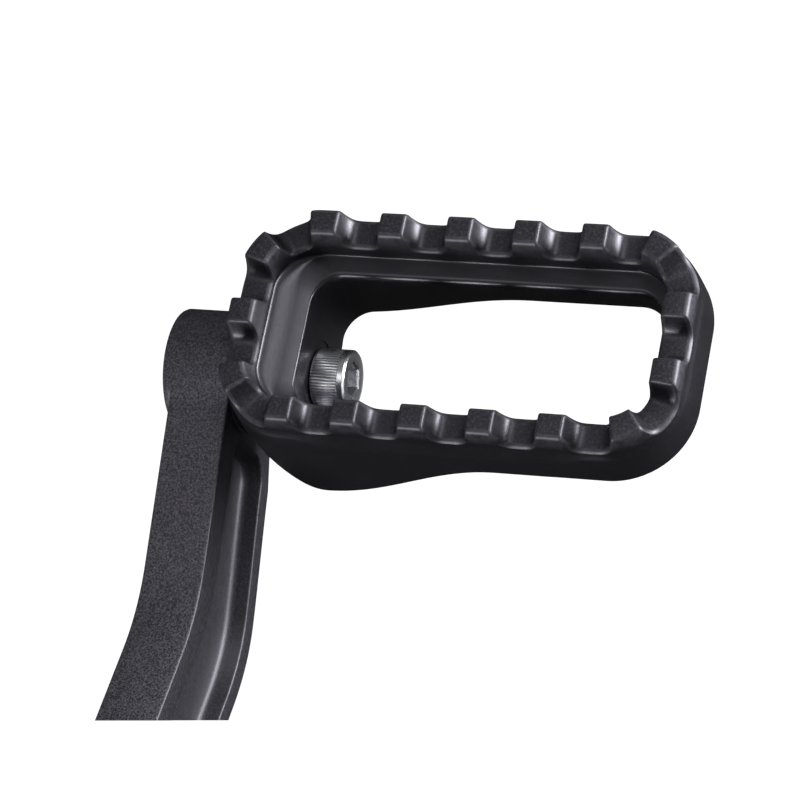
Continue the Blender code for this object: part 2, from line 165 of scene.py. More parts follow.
class NodeBench:
    """One material's nodes, added one by one."""

    def __init__(self, name: str) -> None:
        """Starts a material with its Principled shader and its own coordinates.

        Args:
            name: The material's name.
        """
        self.material = bpy.data.materials.new(name)
        self.material.use_nodes = True
        self.tree = self.material.node_tree
        self.shader = self.tree.nodes["Principled BSDF"]
        self.place = self.add('ShaderNodeTexCoord').outputs["Object"]

    @classmethod
    def over(cls, tree: bpy.types.NodeTree) -> "NodeBench":
        """A bench over the nodes of something that is no material.

        Args:
            tree: The nodes.

        Returns:
            The bench, without a shader.
        """
        bench = cls.__new__(cls)
        bench.tree = tree
        return bench

    def add(self, kind: str, settings: dict[str, Any] | None = None,
            values: dict[Any, Any] | None = None) -> bpy.types.Node:
        """Adds a node.

        Args:
            kind: The node's type.
            settings: Its own settings, set first.
            values: Values, channels or sockets for its inputs, by name or number.

        Returns:
            The node.
        """
        node = self.tree.nodes.new(kind)
        for key, value in (settings or {}).items():
            setattr(node, key, value)
        for key, value in (values or {}).items():
            self.feed(node.inputs[key], value)
        return node

    def feed(self, socket: bpy.types.NodeSocket, value: Any) -> None:
        """Links or sets one input.

        Args:
            socket: The input.
            value: A channel, a socket or a plain value.
        """
        if isinstance(value, Channel):
            value = value.socket
        if isinstance(value, bpy.types.NodeSocket):
            self.tree.links.new(value, socket)
        else:
            socket.default_value = value

    def noise(self, size: float, detail: float = 2.0, roughness: float = 0.5) -> Channel:
        """A cloudy pattern.

        Args:
            size: The length of its larger patches, in millimetres.
            detail: How many finer layers it has.
            roughness: How strong the finer layers are.

        Returns:
            A value about 0.5.
        """
        node = self.add('ShaderNodeTexNoise', None,
                        {"Vector": self.place, "Scale": 1.0 / (size * MM),
                         "Detail": detail, "Roughness": roughness})
        return Channel(self, node.outputs["Fac"])

    def cells(self, size: float) -> Channel:
        """Distance to the nearest of scattered points.

        Args:
            size: The distance between the points, in millimetres.

        Returns:
            0 at a point, more away from it.
        """
        node = self.add('ShaderNodeTexVoronoi', None,
                        {"Vector": self.place, "Scale": 1.0 / (size * MM)})
        return Channel(self, node.outputs["Distance"])

    def painted(self, name: str) -> Channel:
        """A value that the mesh carries at its points or faces."""
        node = self.add('ShaderNodeAttribute', {"attribute_name": name})
        return Channel(self, node.outputs["Fac"])

    def ray(self, kind: str) -> Channel:
        """1 for the rays that the Light Path node calls by this name."""
        return Channel(self, self.add('ShaderNodeLightPath').outputs[kind])

    def mixed(self, share: Channel, first: Any, second: Any) -> bpy.types.NodeSocket:
        """A colour between two colours.

        Args:
            share: How much of the second one there is.
            first: The first colour, or a socket.
            second: The second colour, or a socket.

        Returns:
            The mixed colour.
        """
        node = self.add('ShaderNodeMix', {"data_type": 'RGBA'}, {0: share})
        pair = [socket for socket in node.inputs if socket.type == 'RGBA']
        for socket, colour in zip(pair, (first, second)):
            self.feed(socket, (*colour, 1.0) if isinstance(colour, tuple) else colour)
        return next(socket for socket in node.outputs if socket.type == 'RGBA')

    def relief(self, height: Channel, depth: float, strength: float) -> None:
        """Feeds a height to the shader's normal.

        Args:
            height: The height, about from 0 to 1.
            depth: What a height of 1 stands for, in millimetres.
            strength: How much of the relief shows.
        """
        node = self.add('ShaderNodeBump', None,
                        {"Height": height, "Distance": depth * MM, "Strength": strength})
        self.tree.links.new(node.outputs["Normal"], self.shader.inputs["Normal"])

    def constants(self, **values: Any) -> None:
        """Sets the shader's own sockets, by name with underscores for spaces."""
        for name, value in values.items():
            self.shader.inputs[name.replace("_", " ")].default_value = value


# Finishes


@dataclass(frozen=True)
class BlackAnodising:
    """Satin black anodising, blasted on the tops, with a painted highlight along the edges."""

    base: Colour = (0.0050, 0.0048, 0.0062)
    pale: Colour = (0.058, 0.055, 0.066)
    # paler colour painted along the rims as a highlight
    edge: Colour = (0.045, 0.043, 0.051)
    tint: Colour = (0.90, 0.87, 1.0)
    specular: float = 0.8
    grain_size: float = 0.42
    cloud_size: float = 9.0
    # highlight_size, highlight_span and highlight_share set the painted highlight on the rims
    highlight_size: float = 1.6
    grain_span: Span = (0.44, 0.70)
    highlight_span: Span = (0.3, 0.62)
    blast_span: Span = (0.0, 0.3)
    grain_share: float = 0.6
    cloud_share: float = 0.04
    highlight_share: float = 0.7
    blasted_only: float = 0.92
    roughness: float = 0.34
    blasted_roughness: float = 0.07
    rim_roughness: float = 0.12
    relief_depth: float = 0.05
    relief_strength: float = 0.9
    name: str = "black_anodising"

    def make(self) -> bpy.types.Material:
        """Makes the material.

        Returns:
            The finished material.
        """
        bench = NodeBench(self.name)
        grain = bench.noise(self.grain_size, 3.0, 0.6)
        cloud = bench.noise(self.cloud_size)
        blasted = bench.painted("blasted")
        rim = bench.painted("edge")
        # painted highlight: the rims are mixed towards the paler edge colour in patches
        edge_highlight = rim * bench.noise(self.highlight_size, 3.0).between(*self.highlight_span)
        specks = grain.between(*self.grain_span) * self.grain_share
        ground = bench.mixed(specks * (blasted * self.blasted_only + (1.0 - self.blasted_only))
                             + cloud * self.cloud_share, self.base, self.pale)
        bench.feed(bench.shader.inputs["Base Color"],
                   bench.mixed(edge_highlight * self.highlight_share, ground, self.edge))
        bench.feed(bench.shader.inputs["Roughness"],
                   self.roughness + (grain - 0.5) * 0.16 + (cloud - 0.5) * 0.08
                   + blasted.between(*self.blast_span) * self.blasted_roughness
                   + rim * self.rim_roughness)
        bench.relief(grain * (blasted * 0.9 + 0.1), self.relief_depth, self.relief_strength)
        bench.constants(Metallic=0.0, Specular_IOR_Level=self.specular,
                        Specular_Tint=(*self.tint, 1.0))
        return bench.material


@dataclass(frozen=True)
class CharcoalCoat:
    """Fine-grained charcoal powder coat on a forging, paler where it is rough-grained and
    darker on the sides, partly from its own grain and partly as painted light and shade.
    """

    base: Colour = (0.0085, 0.0081, 0.0102)
    pale: Colour = (0.140, 0.135, 0.160)
    tint: Colour = (0.90, 0.87, 1.0)
    specular: float = 0.5
    grain_size: float = 0.33
    speck_spread: float = 1.2
    patch_size: float = 12.0
    lump_span: Span = (0.36, 0.68)
    speck_span: Span = (0.0, 0.55)
    lump_share: float = 0.5
    speck_share: float = 0.3
    patch_share: float = 0.1
    # how much darker the sides are, partly a smoother coat and partly painted shade
    side_darkening: float = 0.85
    roughness: float = 0.50
    fine_gloss: float = 0.08
    relief_depth: float = 0.07
    relief_strength: float = 0.9
    name: str = "charcoal_powder_coat"

    def make(self) -> bpy.types.Material:
        """Makes the material.

        Returns:
            The finished material.
        """
        bench = NodeBench(self.name)
        lumps = bench.noise(self.grain_size, 3.0, 0.55)
        points = bench.cells(self.grain_size * self.speck_spread)
        specks = 1.0 - points.between(*self.speck_span)
        patches = bench.noise(self.patch_size, 3.0)
        coarse_and_painted_light = bench.painted("grain")
        share = (lumps.between(*self.lump_span) * self.lump_share
                 + specks * self.speck_share + patches * self.patch_share)
        # the rough-grained upper edge and boss are painted paler and the smooth sides darker:
        # partly the coat's own grain, partly painted light and shade
        strength = coarse_and_painted_light * self.side_darkening + (1.0 - self.side_darkening)
        bench.feed(bench.shader.inputs["Base Color"],
                   bench.mixed(share * strength, self.base, self.pale))
        bench.feed(bench.shader.inputs["Roughness"],
                   self.roughness + (lumps - 0.5) * 0.2 - (1.0 - coarse_and_painted_light) * self.fine_gloss)
        bench.relief((lumps * 0.7 + specks * 0.4) * (coarse_and_painted_light * 0.8 + 0.2),
                     self.relief_depth, self.relief_strength)
        bench.constants(Metallic=0.0, Specular_IOR_Level=self.specular,
                        Specular_Tint=(*self.tint, 1.0))
        return bench.material


@dataclass(frozen=True)
class PlatedSteel:
    """Bright plated steel with faint turning marks, and painted shade in its socket and
    hollows.
    """

    base: Colour = (0.79, 0.80, 0.83)
    # the colour of the painted shade in the socket, the knurl's valleys, under the head and
    # round its face
    dull: Colour = (0.42, 0.42, 0.45)
    film_size: float = 1.1
    mark_size: float = 0.22
    film_span: Span = (0.35, 0.7)
    film_share: float = 0.25
    # how strongly the painted shade darkens the plating
    soil_share: float = 0.75
    roughness: float = 0.28
    relief_depth: float = 0.006
    relief_strength: float = 0.4
    name: str = "bright_plated_steel"

    def make(self) -> bpy.types.Material:
        """Makes the material.

        Returns:
            The finished material.
        """
        bench = NodeBench(self.name)
        film = bench.noise(self.film_size, 4.0, 0.6)
        marks = bench.noise(self.mark_size)
        soil = bench.painted("soil")
        # painted shade: the socket, knurl valleys, underside and face ring are mixed towards
        # the dull colour
        bench.feed(bench.shader.inputs["Base Color"],
                   bench.mixed(film.between(*self.film_span) * self.film_share
                               + soil * self.soil_share, self.base, self.dull))
        bench.feed(bench.shader.inputs["Roughness"],
                   self.roughness + (film - 0.5) * 0.14 + soil * 0.12)
        bench.relief(marks, self.relief_depth, self.relief_strength)
        bench.constants(Metallic=1.0)
        return bench.material


# Mesh tools


class Draft:
    """Points and faces of one mesh in the making, in millimetres."""

    def __init__(self) -> None:
        """Starts with nothing."""
        self.points: list[Vector] = []
        self.faces: list[tuple[int, ...]] = []
        self.values: dict[str, list[float]] = {}

    def ring(self, points: Sequence[Vector], **values: Sequence[float]) -> list[int]:
        """Adds a ring of points.

        Args:
            points: Its points in order.
            values: Values that the mesh carries at these points, by name.

        Returns:
            Their numbers.
        """
        start = len(self.points)
        self.points.extend(points)
        for name, numbers in values.items():
            self.values.setdefault(name, []).extend(numbers)
        return list(range(start, len(self.points)))

    def bridge(self, rings: Sequence[Sequence[int]], closed: bool = False) -> None:
        """Joins rings of one length with faces.

        Args:
            rings: The rings in order.
            closed: Whether the last one is joined to the first.
        """
        following = list(rings[1:]) + ([rings[0]] if closed else [])
        for low, high in zip(rings, following):
            count = len(low)
            self.faces.extend((low[i], low[(i + 1) % count], high[(i + 1) % count], high[i])
                              for i in range(count))

    def cap(self, ring: Sequence[int]) -> None:
        """Closes a ring with one face."""
        self.faces.append(tuple(ring))

    def finish(self, name: str, origin: Vector) -> bpy.types.Object:
        """Makes the object.

        Args:
            name: Its name.
            origin: Its place, in metres.

        Returns:
            The object, with its normals out and its surface smooth.
        """
        mesh = bpy.data.meshes.new(name)
        mesh.from_pydata([tuple(p * MM) for p in self.points], [], self.faces)
        for key, numbers in self.values.items():
            attribute = mesh.attributes.new(key, 'FLOAT', 'POINT')
            attribute.data.foreach_set("value", numbers)
        bm = bmesh.new()
        bm.from_mesh(mesh)
        bmesh.ops.recalc_face_normals(bm, faces=bm.faces)
        bm.to_mesh(mesh)
        bm.free()
        mesh.shade_smooth()
        obj = bpy.data.objects.new(name, mesh)
        obj.location = origin
        bpy.context.scene.collection.objects.link(obj)
        return obj


def combine(obj: bpy.types.Object, helpers: Sequence[tuple[bpy.types.Object, Operation]],
            crease: float) -> None:
    """Joins or cuts a piece with helper solids, which are then removed.

    Args:
        obj: The piece.
        helpers: The helper solids and what each one does.
        crease: Edges sharper than this many degrees stay sharp.
    """
    for helper, operation in helpers:
        mod = obj.modifiers.new(helper.name, 'BOOLEAN')
        mod.operation = operation.value
        mod.solver = 'EXACT'
        mod.object = helper
    bpy.context.view_layer.update()
    graph = bpy.context.evaluated_depsgraph_get()
    mesh = bpy.data.meshes.new_from_object(obj.evaluated_get(graph))
    obj.modifiers.clear()
    obj.data = mesh
    for helper, _ in helpers:
        bpy.data.objects.remove(helper, do_unlink=True)
    mesh.shade_smooth()
    mesh.set_sharp_from_angle(angle=math.radians(crease))


def around(x: float, radii: Sequence[float]) -> list[Vector]:
    """Points round the X axis.

    Args:
        x: Their place along it.
        radii: Their distances from it, evenly round a turn.

    Returns:
        The points.
    """
    turns = [2.0 * math.pi * k / len(radii) for k in range(len(radii))]
    return [Vector((x, r * math.cos(a), r * math.sin(a))) for r, a in zip(radii, turns)]


def turned(name: str, profile: Sequence[tuple[float, float]], segments: int,
           origin: Vector) -> bpy.types.Object:
    """A solid turned about X.

    Args:
        name: Its name.
        profile: Its outline as (x, radius) pairs.
        segments: How many sides a turn has.
        origin: Its place, in metres.

    Returns:
        The object.
    """
    draft = Draft()
    rings = [draft.ring(around(x, [r] * segments)) for x, r in profile]
    draft.bridge(rings)
    draft.cap(rings[0])
    draft.cap(rings[-1])
    return draft.finish(name, origin)


@dataclass(frozen=True)
class Corner:
    """A corner of a section, with how far its rounding reaches along both its legs."""

    point: Vector
    back: float = 0.0
    ahead: float = 0.0
    steps: int = 1


def rounded(corners: Sequence[Corner]) -> list[Vector]:
    """Rounds the corners of a closed line.

    Args:
        corners: The corners in order.

    Returns:
        The rounded line's points.
    """
    points: list[Vector] = []
    count = len(corners)
    legs = [(corners[(i + 1) % count].point - corners[i].point) for i in range(count)]
    share = [min(1.0, LEG_SHARE * leg.length
                 / max(corners[i].ahead + corners[(i + 1) % count].back, 1e-6))
             for i, leg in enumerate(legs)]
    for i, corner in enumerate(corners):
        if corner.steps < 2:
            points.append(corner.point)
            continue
        start = corner.point - legs[i - 1].normalized() * corner.back * share[i - 1]
        end = corner.point + legs[i].normalized() * corner.ahead * share[i]
        handle_a = start.lerp(corner.point, CURVE_HANDLE)
        handle_b = end.lerp(corner.point, CURVE_HANDLE)
        for k in range(corner.steps):
            t = k / (corner.steps - 1)
            s = 1.0 - t
            points.append(start * s ** 3 + handle_a * (3.0 * s * s * t)
                          + handle_b * (3.0 * s * t * t) + end * t ** 3)
    return points


def smoothstep(value: float, start: float, end: float) -> float:
    """Goes from 0 to 1 between start and end, level at both."""
    t = min(max((value - start) / (end - start), 0.0), 1.0)
    return t * t * (3.0 - 2.0 * t)


@dataclass(frozen=True)
class Outline:
    """A rectangle with round corners, walked in eight runs from the screw end.

    The radii stand in the order of the walk: screw end far, free end far, free end near,
    screw end near.
    """

    x_min: float
    x_max: float
    y_min: float
    y_max: float
    radii: tuple[float, float, float, float]

    def grown(self, amount: float) -> "Outline":
        """The parallel outline, further out by amount."""
        a, b, c, d = (max(r + amount, SMALLEST_RADIUS) for r in self.radii)
        return Outline(self.x_min - amount, self.x_max + amount, self.y_min - amount,
                       self.y_max + amount, (a, b, c, d))

    def run_lengths(self) -> list[float]:
        """Measures the eight runs.

        Returns:
            Their lengths: side, corner, side, corner and so on.
        """
        lengths = []
        for side in range(4):
            full = self.x_max - self.x_min if side % 2 else self.y_max - self.y_min
            lengths.append(full - self.radii[side - 1] - self.radii[side])
            lengths.append(math.pi / 2.0 * self.radii[side])
        return lengths

    def point(self, run: int, t: float) -> Vector:
        """A point of the outline.

        Args:
            run: The run's number.
            t: The fraction along it.

        Returns:
            The point, at height 0.
        """
        a, b, c, d = self.radii
        centres = [(self.x_min + a, self.y_max - a), (self.x_max - b, self.y_max - b),
                   (self.x_max - c, self.y_min + c), (self.x_min + d, self.y_min + d)]
        side = run // 2
        angle = math.pi - (side + (t if run % 2 else 0.0)) * math.pi / 2.0
        ends = []
        for corner in (side - 1, side):
            x, y = centres[corner]
            r = self.radii[corner]
            ends.append(Vector((x + r * math.cos(angle), y + r * math.sin(angle), 0.0)))
        return ends[1] if run % 2 else ends[0].lerp(ends[1], t)


# Pieces


@dataclass(frozen=True)
class Station:
    """A place round the ring: run, fraction, depth of the top and how much of an edge it is."""

    run: int
    t: float
    depth: float
    edge: float


@dataclass
class PedalPad:
    """The serrated ring with its screw end, one machined piece."""

    finish: BlackAnodising = field(default_factory=BlackAnodising)
    length: float = 75.7
    width: float = 36.5
    thickness: float = 3.6
    corner_radii: tuple[float, float, float, float] = (10.5, 9.3, 9.3, 9.3)
    teeth: int = 17
    tooth_flat: float = 3.4
    tooth_chamfer: float = 0.5
    tooth_turns: tuple[float, ...] = (0.0, 17.0, 34.0, 50.0, 66.0)
    notch_steps: int = 22
    notch_depth: float = 4.2
    notch_squareness: float = 4.6
    notch_outer_lean: float = 0.22
    notch_inner_lean: float = 0.42
    row_offset: float = 0.6
    edge_break: float = 0.45
    rim_chamfer: float = 0.5
    rim_rounds: Span = (0.3, 0.33)
    waist_gap: float = 0.3
    waist_out: float = 0.03
    waist_rounds: Span = (0.8, 1.0)
    belt_rounds: Span = (1.3, 4.0)
    belt_depth: float = 7.0
    belt_drop: float = 2.4
    belt_flare: float = 1.18
    free_end_flare: float = 0.78
    screw_end_flare: float = 0.03
    belt_radii: tuple[float, float, float, float] = (13.3, 13.3, 13.3, 10.9)
    bottom_round: float = 1.6
    ledge_depth: float = 7.4
    ledge_far: float = 4.23
    ledge_near: float = 0.83
    ledge_screw_end: float = 6.43
    ledge_free_end: float = 1.33
    ledge_flat_share: float = 0.35
    ledge_rise: tuple[float, float, float, float] = (1.5, 0.05, 0.05, 0.05)
    fillet: float = 2.3
    least_fillet: float = 0.2
    lip: float = 0.35
    lip_extra: float = 1.0
    lip_widths: Span = (2.5, 4.5)
    wall_draft: float = 0.45
    window_radius: float = 5.0
    window_round: float = 1.0
    window_drafts: tuple[float, float, float, float] = (0.6, 1.0, 0.2, 0.6)
    skirt_depth: float = 14.8
    corner_depth: float = 19.4
    deepest: float = 25.4
    deep_places: tuple[float, float, float] = (2.2, 11.8, 45.4)
    deep_lean: float = 0.17
    boss_diameter: float = 20.3
    boss_proud: float = 0.2
    boss_waist: float = 18.9
    boss_break: float = 0.2
    boss_step: float = 0.8
    boss_short: float = 0.6
    screw_across: float = -4.15
    screw_below: float = 17.2
    hole_diameter: float = 6.6
    bore_diameter: float = 12.6
    bore_depth: float = 0.2
    bore_reach: float = 9.0
    hole_ahead: float = 5.0
    blast_depth: float = 0.4
    notch_blast: float = 0.8
    least_blast: float = 0.2
    rim_blast: float = 0.6
    # how much of the painted highlight and the rougher finish the rims get
    rim_edge_share: float = 0.8
    crease: float = 42.0

    def line(self) -> Outline:
        """Finds the line midway through the teeth.

        Returns:
            The line.
        """
        x = (self.length - self.thickness) / 2.0
        y = (self.width - self.thickness) / 2.0
        return Outline(-x, x, -y, y, self.corner_radii)

    def origin(self) -> Vector:
        """Finds the middle of the ring on the tooth tops from the solid's box.

        Returns:
            The point, in metres.
        """
        low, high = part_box("pedal_pad")
        reach = self.length / 2.0 + self.edge_break + self.free_end_flare
        return Vector((high.x - reach * MM, (low.y + high.y) / 2.0, high.z))

    def face_reach(self) -> float:
        """How far the screw end's face is from the ring's middle."""
        return self.length / 2.0 + self.edge_break + self.screw_end_flare + self.boss_proud

    def screw_axis(self) -> Vector:
        """The screw's axis where the pad meets the lever, in metres."""
        place = Vector((-self.face_reach(), self.screw_across, -self.screw_below))
        return self.origin() + place * MM

    def windows(self) -> tuple[Outline, Outline]:
        """Finds the window's outlines.

        Returns:
            The one at the ledge and the one at the underside.
        """
        wall = self.line().grown(-self.thickness / 2.0 - self.edge_break)
        top = Outline(wall.x_min + self.ledge_screw_end, wall.x_max - self.ledge_free_end,
                      wall.y_min + self.ledge_near, wall.y_max - self.ledge_far,
                      (self.window_radius,) * 4)
        screw_end, free_end, near, far = self.window_drafts
        low = replace(top, x_min=top.x_min + screw_end, x_max=top.x_max - free_end,
                      y_min=top.y_min - near, y_max=top.y_max + far)
        return top, low

    def seat(self) -> float:
        """Finds where the screw's head seats.

        Returns:
            The distance from the lever's face, in millimetres.
        """
        top, low = self.windows()
        return (top.x_min + low.x_min) / 2.0 - self.bore_depth + self.face_reach()

    def tooth_line(self, pitch: float) -> list[tuple[float, float, float]]:
        """The line of the tops over one tooth and the notch after it.

        Args:
            pitch: The distance from tooth to tooth.

        Returns:
            (distance from the tooth's middle, depth, share of edge) in order.
        """
        flat = self.tooth_flat / 2.0
        c = self.tooth_chamfer
        half = pitch / 2.0 - flat - c

        def notch(offset: float) -> float:
            """Depth at a distance from the notch's middle."""
            share = min(abs(offset) / half, 1.0)
            return c + (self.notch_depth - c) * (1.0 - share ** self.notch_squareness)

        turns = [math.radians(a) for a in self.tooth_turns]
        edge = [(c * math.sin(a), c * (1.0 - math.cos(a)), math.sin(a)) for a in turns]
        line = [(-flat * share, 0.0, 0.0) for share in (0.94, 0.5)]
        line += [(flat * share, 0.0, 0.0) for share in (0.0, 0.5, 0.94)]
        line += [(flat + x, depth, share) for x, depth, share in edge]
        for k in range(self.notch_steps + 1):
            offset = -half * math.cos(math.pi * k / self.notch_steps)
            share = 0.9 if k in (0, self.notch_steps) else 0.0
            line.append((pitch / 2.0 + offset, notch(offset), share))
        line += [(pitch - flat - x, depth, share) for x, depth, share in reversed(edge)]
        return line

    def stations(self) -> list[Station]:
        """Lists the places round the ring.

        Returns:
            The places, tooth by tooth.
        """
        line = self.line()
        lengths = line.run_lengths()
        middle_of_end = -line.y_min - line.radii[3]
        total = sum(lengths)
        pitch = total / self.teeth
        found = []
        for tooth in range(self.teeth):
            for distance, depth, edge in self.tooth_line(pitch):
                s = (tooth * pitch + distance + middle_of_end) % total
                run = 0
                while s > lengths[run] and run < 7:
                    s -= lengths[run]
                    run += 1
                t = s / lengths[run]
                if run in (2, 6):
                    # both long rows of teeth sit a little further on round the ring
                    shift = self.row_offset / lengths[run]
                    t += shift * max(math.sin(math.pi * t), 0.0) ** 0.25
                found.append(Station(run, t, depth, edge))
        return found

    def bottom(self, p: Vector) -> float:
        """Finds the height of the underside.

        Args:
            p: A place in the ring's plan.

        Returns:
            The height there.
        """
        start, full, end = self.deep_places
        along = p.x + self.length / 2.0
        if along < full:
            share = smoothstep(along, start, full)
            shallow = self.corner_depth
        else:
            share = 1.0 - smoothstep(along, full, end)
            shallow = self.skirt_depth
        return -shallow - (self.deepest - shallow) * share + self.deep_lean * share * p.y

    def nearness(self, station: Station) -> float:
        """Tells how far along the near side a place is.

        Args:
            station: The place.

        Returns:
            1 along the near side, 0 at the ends and on the far side.
        """
        if station.run != 6:
            return 0.0
        return smoothstep(station.t, 0.0, 0.2) * (1.0 - smoothstep(station.t, 0.8, 1.0))

    def rise(self, station: Station) -> float:
        """Finds how much higher the ledge is at its foot than at the window.

        Args:
            station: The place.

        Returns:
            The height.
        """
        side, following = station.run // 2, (station.run // 2 + 1) % 4
        share = smoothstep(station.t, 0.0, 1.0) if station.run % 2 else 0.0
        return self.ledge_rise[side] * (1.0 - share) + self.ledge_rise[following] * share

    def section(self, station: Station) -> tuple[list[Vector], list[float], list[float]]:
        """The pad's section at one place.

        Args:
            station: The place.

        Returns:
            The section's points, how much of an edge each one is, and how blasted it is.
        """
        line = self.line()
        wall = self.thickness / 2.0 + self.edge_break
        c = self.rim_chamfer
        outer = line.grown(wall)
        belt = replace(outer.grown(self.belt_flare), x_min=outer.x_min - self.screw_end_flare,
                       x_max=outer.x_max + self.free_end_flare, radii=self.belt_radii)
        window, window_low = self.windows()

        def at(outline: Outline, z: float) -> Vector:
            """The outline's point at this place."""
            p = outline.point(station.run, station.t)
            return Vector((p.x, p.y, z))

        d = station.depth
        outward = self.notch_outer_lean * d / self.notch_depth
        inward = self.notch_inner_lean * d / self.notch_depth
        def under(p: Vector) -> Vector:
            """The underside's point below a place."""
            return Vector((p.x, p.y, self.bottom(p)))

        wide = at(belt, 0.0)
        low = at(window_low, 0.0)
        ledge = at(window, -self.ledge_depth)
        foot = at(line.grown(-wall - self.wall_draft), self.rise(station) - self.ledge_depth)
        width = (foot - ledge).length
        # a cove where the ledge rises, elsewhere a sharp foot and a rounder lip
        cove = min(self.rise(station) / self.ledge_rise[0], 1.0)
        lip = self.lip + self.lip_extra * (1.0 - cove) * smoothstep(width, *self.lip_widths)
        slope = (width - lip) * (1.0 - self.ledge_flat_share)
        least = self.least_fillet
        waist = -self.notch_depth - c - self.waist_gap
        belt_low = self.belt_depth + self.belt_drop * self.nearness(station)
        flat, steep = self.rim_rounds
        corners = [
            Corner(at(line.grown(-wall + c - inward), -d), steep, flat, 5),
            Corner(at(line.grown(wall - c + outward), -d), flat, steep, 5),
            Corner(at(outer.grown(outward), -d - c), steep, flat, 5),
            Corner(at(outer.grown(self.notch_outer_lean + self.waist_out), waist),
                   *self.waist_rounds, 5),
            Corner(at(belt, -belt_low), *self.belt_rounds, 8),
            Corner(under(wide), self.bottom_round, self.bottom_round, 8)]
        corners += [Corner(under(wide.lerp(low, share))) for share in (0.3, 0.5, 0.7)]
        corners += [
            Corner(under(low), self.window_round, self.window_round, 6),
            Corner(ledge, lip, lip, 6),
            Corner(foot, least + (slope - least) * cove,
                   least + (self.fillet - least) * cove, 10),
            Corner(at(line.grown(-wall - self.notch_inner_lean), waist), flat, flat, 3),
            Corner(at(line.grown(-wall - inward), -d - c), flat, steep, 5)]
        shares = []
        blasted = []
        floor = smoothstep(d, self.notch_blast * self.notch_depth, self.notch_depth)
        blast = max(1.0 - d / self.blast_depth, floor * self.notch_blast, self.least_blast)
        for k, corner in enumerate(corners):
            rim = 1.0 if k in (0, 1, 2, len(corners) - 1) else 0.0
            top = station.edge if rim else 0.0
            for step in range(corner.steps):
                inner_flat = (k == 0 and step == corner.steps - 1) or (k == 1 and step == 0)
                # the rims take the painted highlight and the rougher finish
                shares.append(max(top, 0.0 if inner_flat else rim * self.rim_edge_share))
                blasted.append(blast * (1.0 if inner_flat else self.rim_blast * rim))
        return rounded(corners), shares, blasted

    def build(self) -> bpy.types.Object:
        """Makes the pad and bores its screw end.

        Returns:
            The pad.
        """
        draft = Draft()
        rings = []
        for station in self.stations():
            points, shares, blasted = self.section(station)
            rings.append(draft.ring(points, edge=shares, blasted=blasted))
        draft.bridge(rings, closed=True)
        pad = draft.finish("serrated_pad", self.origin())
        axis = self.screw_axis()
        seat = self.seat()
        radius, waist = self.boss_diameter / 2.0, self.boss_waist / 2.0
        narrow, wide = self.hole_diameter / 2.0, self.bore_diameter / 2.0
        inside = self.boss_proud + self.screw_end_flare + self.thickness
        boss = turned("pad_boss", [(0.0, radius - self.boss_break), (self.boss_break, radius),
                                   (inside, radius), (inside + self.boss_step, waist),
                                   (seat - self.boss_short, waist)], 128, axis)
        hole = turned("pad_hole", [(-self.hole_ahead, narrow), (seat, narrow), (seat, wide),
                                   (seat + self.bore_reach, wide)], 96, axis)
        combine(pad, [(boss, Operation.ADD), (hole, Operation.CUT)], self.crease)
        return pad

    def dress(self, pad: bpy.types.Object) -> None:
        """Gives the pad its finish and its place on the model.

        Args:
            pad: The pad.
        """
        pad.data.materials.clear()
        pad.data.materials.append(self.finish.make())
        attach(pad, "root")
        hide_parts("pedal_pad")
        LOG.info("pad: %d teeth, %d faces", self.teeth, len(pad.data.polygons))


